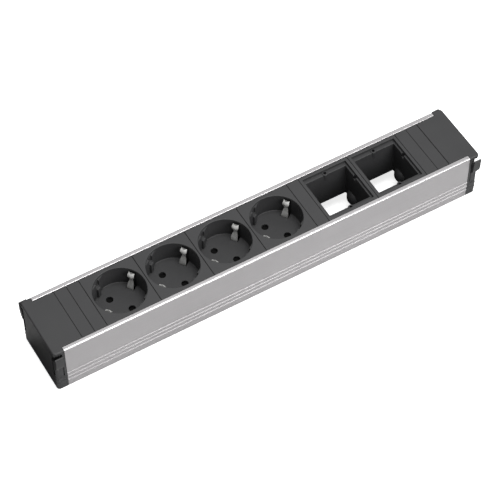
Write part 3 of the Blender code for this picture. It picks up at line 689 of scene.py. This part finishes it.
def pvc(name, ground, stripe, stripe_share):
    """Soft PVC sleeve: a slightly waxy colour that dulls in patches, with a stripe along it if it has one."""
    material, tree, shader, place = finish(name, IOR=1.53)
    around = add(tree, "ShaderNodeAttribute", attribute_name="around")
    striped = add(tree, "ShaderNodeMath", {0: around.outputs["Fac"], 1: stripe_share}, operation="LESS_THAN")
    patch = noise(tree, place, per_size(3.0), 3.0)
    vary_roughness(tree, shader, patch.outputs["Fac"], 0.38, 0.55)
    colour = add(tree, "ShaderNodeMix", {"Factor": striped.outputs[0], "A": tone(ground), "B": tone(stripe)},
                 data_type="RGBA")
    tree.links.new(colour.outputs["Result"], shader.inputs["Base Color"])
    roughen(tree, shader, patch, 0.2, 0.05)
    return material


bar_tail = middle_x("socket_insert_1") - 27.5
wires = {
    "live": ("wire_brown", pvc("brown_pvc", "#5f3418", "#5f3418", 0.0), (13.9, 13.0)),
    "neutral": ("wire_blue", pvc("blue_pvc", "#2456a8", "#2456a8", 0.0), (-13.9, 13.0)),
    "earth": ("wire_green", pvc("green_yellow_pvc", "#2f8a3a", "#e0c92a", 0.35), (0.0, 8.5))}
wire_measures = ("Start X", "Start Y", "Start Z", "End X", "End Y", "End Z", "Rise", "Fall", "Radius")
for pole, (wire_slot, sleeve_plastic, (end_y, end_z)) in wires.items():
    wire_tree, wire_in, wire_done = tree_with_inputs(f"{pole}_lead", wire_measures, sleeve_plastic)
    given = wire_in.outputs
    rise = add(wire_tree, "ShaderNodeMath", {0: given["Start Z"], 1: given["Rise"]}, operation="ADD")
    fall = add(wire_tree, "ShaderNodeMath", {0: given["End Z"], 1: given["Fall"]}, operation="ADD")
    start, start_handle, end_handle, end = (
        add(wire_tree, "ShaderNodeCombineXYZ", {"X": given[f"{tip} X"], "Y": given[f"{tip} Y"], "Z": z})
        for tip, z in (("Start", given["Start Z"]), ("Start", rise.outputs[0]), ("End", fall.outputs[0]),
                       ("End", given["End Z"])))
    bend = add(wire_tree, "GeometryNodeCurvePrimitiveBezierSegment",
               {"Resolution": 40, "Start": start.outputs[0], "Start Handle": start_handle.outputs[0],
                "End Handle": end_handle.outputs[0], "End": end.outputs[0]}, mode="POSITION")
    ring = add(wire_tree, "GeometryNodeCurvePrimitiveCircle", {"Resolution": 20, "Radius": given["Radius"]},
               mode="RADIUS")
    share = add(wire_tree, "GeometryNodeSplineParameter")
    ring_share = add(wire_tree, "GeometryNodeStoreNamedAttribute",
                     {"Geometry": ring.outputs[0], "Name": "around", "Value": share.outputs["Factor"]},
                     data_type="FLOAT", domain="POINT")
    sleeve = add(wire_tree, "GeometryNodeCurveToMesh",
                 {"Curve": bend.outputs[0], "Profile Curve": ring_share.outputs[0], "Fill Caps": True})
    smooth_sleeve = add(wire_tree, "GeometryNodeSetShadeSmooth", {"Geometry": sleeve.outputs[0]})
    wire_tree.links.new(smooth_sleeve.outputs[0], wire_done)
    low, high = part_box(f"inlet_pin_{pole}")
    lead = grown(f"{pole}_lead", wire_tree, {
        "Start X": (low.x + high.x) / 2, "Start Y": (low.y + high.y) / 2, "Start Z": high.z + gap * MM,
        "End X": bar_tail * MM, "End Y": end_y * MM, "End Z": (end_z + gap) * MM,
        "Rise": 9.0 * MM, "Fall": 22.0 * MM, "Radius": 1.3 * MM})
    fit(polished(lead, sleeve_plastic, 50.0), "housing", wire_slot, f"{pole}_wire")

# ---------------------------------------------------------------------------------------------- base cover
# A flat moulded plate slides in the rails' lower grooves and closes the underside below the live parts, with
# a cut-out for the inlet.

low, high = (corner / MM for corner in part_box("base_cover"))
cover = block("base_plate", (low.x, high.x), (low.y, high.y), (low.z, high.z), 0.6, 0.3)
cut(cover, about_inlet("cut_out", inlet_half_x + gap, inlet_half_y + gap, (1.0, 5.0), 1.0))
fit(polished(cover, dull_tray_plastic), "housing", "black_plastic", "base_cover")

# --------------------------------------------------------------------------------------------------- rails
# The two sides are one aluminium extrusion cut to length, the back one turned round. The die gives the
# lips that hold the modules down, the inner grooves, and three soft beads low on the face. Each length is
# then etched and anodised.

height = 46.0
face_y = 27.5
web = 1.6
lip, lip_thick, lip_edge_r = 3.8, 1.8, 0.5
groove_ribs = ((40.4, 41.6), (4.2, 5.4))
rib_depth = 3.2
foot_r, shoulder_r = 0.8, 1.2
bead_middles = (7.6, 11.9, 16.2)
bead_width = 2.5
bead_proud = 0.55


def wall_outline():
    """Half of the strip's outer section as (depth from the face, height), from the foot to the lip."""
    outline = arc((foot_r, foot_r), foot_r, 270, 180, 5)
    for middle in bead_middles:
        for k in range(13):
            share = k / 12 - 0.5
            swell = 0.5 + 0.5 * math.cos(math.tau * share)
            outline.append((-bead_proud * swell, middle + bead_width * share))
    return outline + arc((shoulder_r, height - shoulder_r), shoulder_r, 180, 90, 8)


section = wall_outline() + arc((lip - lip_edge_r, height - lip_edge_r), lip_edge_r, 90, 0, 4)
section += [(lip, height - lip_thick), (web, height - lip_thick)]
for rib_low, rib_high in groove_ribs:
    section += [(web, rib_high), (rib_depth, rib_high), (rib_depth, rib_low), (web, rib_low)]
section += [(web, lip_thick), (lip, lip_thick), (lip, lip_edge_r), (lip - lip_edge_r, 0.0)]

# Satin natural anodising: pale neutral grey, a soft broad gloss, and faint die lines that run the whole
# length. The lines are drawn 0.5 mm apart, coarser than real, so that they show.
satin_anodised_aluminium = metal("satin_anodised_aluminium", "#c8c6c7", "#bfbdbe", (0.34, 0.42),
                                 (160.0, 0.5, 0.5), 60.0)
rail_tree, rail_in, rail_end = tree_with_inputs("extruded_rail", ("Start", "Length"),
                                                satin_anodised_aluminium)
rail_start = add(rail_tree, "ShaderNodeCombineXYZ", {"X": rail_in.outputs["Start"]})
cut_face = add(rail_tree, "GeometryNodeTransform",
               {"Geometry": rail_in.outputs["Geometry"], "Translation": rail_start.outputs[0]})
rail_run = add(rail_tree, "ShaderNodeCombineXYZ", {"X": rail_in.outputs["Length"]})
drawn = add(rail_tree, "GeometryNodeExtrudeMesh",
            {"Mesh": cut_face.outputs[0], "Offset": rail_run.outputs[0], "Offset Scale": 1.0,
             "Individual": False}, mode="FACES")
near_face = add(rail_tree, "GeometryNodeFlipFaces", {"Mesh": cut_face.outputs[0]})
both_ends = add(rail_tree, "GeometryNodeJoinGeometry")
rail_tree.links.new(drawn.outputs["Mesh"], both_ends.inputs[0])
rail_tree.links.new(near_face.outputs[0], both_ends.inputs[0])
one_body = add(rail_tree, "GeometryNodeMergeByDistance",
               {"Geometry": both_ends.outputs[0], "Distance": 0.001 * MM})
rail_tree.links.new(one_body.outputs[0], rail_end)

for name, side in (("front_rail", -1), ("back_rail", 1)):
    low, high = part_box(name)
    outline = [(0.0, side * (face_y - depth) * MM, z * MM) for depth, z in section]
    cut_section = bpy.data.meshes.new(name + "_section")
    cut_section.from_pydata(outline if side > 0 else outline[::-1], [], [range(len(outline))])
    rail = grown(name + "_extrusion", rail_tree, {"Start": low.x, "Length": high.x - low.x}, cut_section)
    fit(polished(rail, satin_anodised_aluminium, 24.0), "housing", "aluminium", name)

# ------------------------------------------------------------------------------------------------- fillers
# Blank moulded strips, 10 mm wide, close the places that no module takes. They slide in like the modules.

low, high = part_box("filler_1")
rib_half, rib_thick = 22.9, 1.3
filler_rings = slide_rings((high.x - low.x) / 2 / MM, rib_half, rib_thick, flange_low - 1.0, edge=0.15)
fit_copies(polished(solid("filler", filler_rings), satin_black_plastic), "housing", "black_plastic",
           *numbered("filler", 5))

# -------------------------------------------------------------------------------------------------- frames
# Two empty frames for snap-in data modules, one moulding each: a thin top ring, a step that the module rests
# on with small screw bosses, and a tapered well that runs out of the underside, with one wall swollen.

frame_pitch = 44.4
frame_low = height - 33.4
step_z = top_z - 2.5
mouth_half = (19.5, 20.8)
well_half_x, well_low_y, well_high_y = 18.1, 15.3, 17.75
shell_half = (21.0, 21.6)
boss_r, boss_hole_r, side_hole_r = 2.4, 1.3, 1.6
boss_places = ((0.0, 19.2), (0.0, -19.2))
side_hole_places = ((18.6, 4.5), (-18.6, -1.5))
bulge_middle, bulge_r = (24.6, 5.5), 10.0
bulge_top = height - 25.0


def flared(name, levels, corner, flare):
    """A cutter through rounded rectangles at each (height, half X, half Y), flared to round the top edge."""
    stages = [(z, half_x, half_y, corner) for z, half_x, half_y in levels]
    z, half_x, half_y = levels[-1]
    for a in (math.radians(30), math.radians(60), math.radians(90)):
        out = flare * (1 - math.cos(a))
        stages.append((z + flare * math.sin(a), half_x + out, half_y + out, corner + out))
    stages.append((z + flare + 1.0, half_x + flare, half_y + flare, corner + flare))
    rings = []
    for z, x, y, r in stages:
        centres = ((x - r, y - r, 0), (r - x, y - r, 90), (r - x, r - y, 180), (x - r, r - y, 270))
        rings.append([(px, py, z) for cx, cy, start in centres
                      for px, py in arc((cx, cy), r, start, start + 90, 5)])
    return solid(name, rings)


module_frame = solid("frame", slide_rings((frame_pitch - gap) / 2, skirt_half, skirt_thick, frame_low + 2.0))
join(module_frame, block("shell", (-shell_half[0], shell_half[0]), (-shell_half[1], shell_half[1]),
                         (frame_low, top_z - 1.0), 0.8))
cut(module_frame, flared("mouth", [(step_z, *mouth_half), (top_z - 0.3, *mouth_half)], 0.8, 0.3))
cut(module_frame, flared("well", [(frame_low - 1.0, well_half_x, well_low_y),
                                  (step_z - 0.4, well_half_x, well_high_y)], 0.6, 0.4))
bulge_steps = ((frame_low, 0.0), (bulge_top - 5.0, 0.0), (bulge_top - 3.2, 0.4), (bulge_top - 1.6, 1.3),
               (bulge_top - 0.5, 2.5), (bulge_top, 3.6))
in_the_wall = [(19.5, -1.0), (19.5, 12.0)]
join(module_frame, solid("bulge", [[(x, y, z) for x, y in arc(bulge_middle, bulge_r - inset, 138, 222, 14)
                                    + in_the_wall] for z, inset in bulge_steps]))
for place in boss_places:
    boss = [(boss_r, step_z - 5.0), (boss_r, step_z + 0.35), (boss_r - 0.25, step_z + 0.6)]
    join(module_frame, lathe("boss", boss, place, 32))
    bored(module_frame, boss_hole_r, step_z - 4.0, step_z + 2.0, place)
for place in side_hole_places:
    bored(module_frame, side_hole_r, step_z - 4.0, step_z + 2.0, place)
fit_copies(polished(module_frame, satin_black_plastic), "housing", "black_plastic",
           *numbered("module_frame", 2))

# ------------------------------------------------------------------------------------------------ end caps
# A moulded cap closes each end: a head that carries on the rails' section, a plate that slides in between
# the rails, pegs that locate it behind them, and an open pocket in each side for the spring tongue.

wing = 8.6
cap_length = 25.75
end_wall = 2.5
end_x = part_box("right_end_cap")[1].x / MM
wing_x = end_x - wing
corner_r = 2.5
peg_end, peg_depth = 22.0, 3.4
tongue_width, tongue_slot, tongue_root = 6.2, 0.6, 15.0
pocket_top, pocket_y = 43.0, face_y - 5.0


def cap_block(name, end, near, far, y, z, corner, top=0.0):
    """A block of the cap at one end, between two distances from the strip's middle along it."""
    return block(name, sorted((end * near, end * far)), sorted(y), z, corner, top)


for name, end in (("left_end_cap", -1), ("right_end_cap", 1)):
    levels = []
    for depth, z in wall_outline():
        half_y, tip_x = face_y - depth, end_x - max(depth, 0.0)
        outline = [(wing_x, half_y), (wing_x, -half_y)]
        outline += arc((tip_x - corner_r, corner_r - half_y), corner_r, -90, 0, 8)
        outline += arc((tip_x - corner_r, half_y - corner_r), corner_r, 0, 90, 8)
        levels.append([(end * x, y, z) for x, y in outline])
    cap = solid(name + "_moulding", levels)
    cut(cap, cap_block("hollow", end, end_x - end_wall, wing_x - 1.0, (-20.4, 20.4), (2.0, plate_low), 0.5))
    plate_half = (cap_length - gap / 2 - wing + 1.0) / 2
    plate = solid("plate", slide_rings(plate_half, rib_half, rib_thick, 36.0, height))
    plate.data.transform(Matrix.Translation((end * (wing_x + 1.0 - plate_half) * MM, 0.0, 0.0)))
    join(cap, plate)
    for side in (-1, 1):
        cut(cap, cap_block("pocket", end, end_x - tongue_width - tongue_slot, end_x + 1.0,
                           (side * pocket_y, side * (face_y + 1.0)), (tongue_root, pocket_top), 0.3))
        peg_y = (side * (face_y - peg_depth), side * (face_y - web - gap))
        join(cap, cap_block("peg", end, wing_x + 0.8, end_x - peg_end, peg_y, (7.0, 39.0), 0.3, 0.5))
    fit(polished(cap, satin_black_plastic, 28.0), "housing", "black_plastic", name)

# ------------------------------------------------------------------------------------------------- tongues
# Each cap wing has a spring tongue, moulded with the cap and free on three sides. It bends inwards about its
# root and its proud hook snaps behind the edge of a bracket.

tongue_thick = 1.8
hook_low, hook_proud = 26.2, 2.9
hook_tip_z, hook_tip_r = 41.8, 0.8
leaf_root = tongue_root + gap
leaf = [(tongue_thick, leaf_root), (0.0, leaf_root), (0.0, hook_low), (0.7 - hook_proud, hook_low + 4.0),
        (0.1 - hook_proud, hook_low + 7.8)]
leaf += arc((hook_tip_r - hook_proud, hook_tip_z), hook_tip_r, 180, 60, 8) + [(tongue_thick, 35.5)]
round_x, round_y = end_x - corner_r, face_y - corner_r
corner_waste = arc((round_x, round_y), corner_r, 0, 90, 8) + [(round_x, face_y + 1), (end_x + 1, face_y + 1),
                                                              (end_x + 1, round_y)]
for end_name, end in (("left", -1), ("right", 1)):
    for side_name, side in (("front", -1), ("back", 1)):
        name = f"{end_name}_{side_name}_tongue"
        tongue = solid(name + "_leaf", [[(end * x, side * (face_y - depth), z) for depth, z in leaf]
                                        for x in (end_x - tongue_width, end_x)])
        cut(tongue, solid("corner_waste", [[(end * x, side * y, z) for x, y in corner_waste]
                                           for z in (10.0, hook_low - 0.4)]))
        fit(polished(soft_edges(tongue, 0.18, 35.0), satin_black_plastic), name, "black_plastic", name)
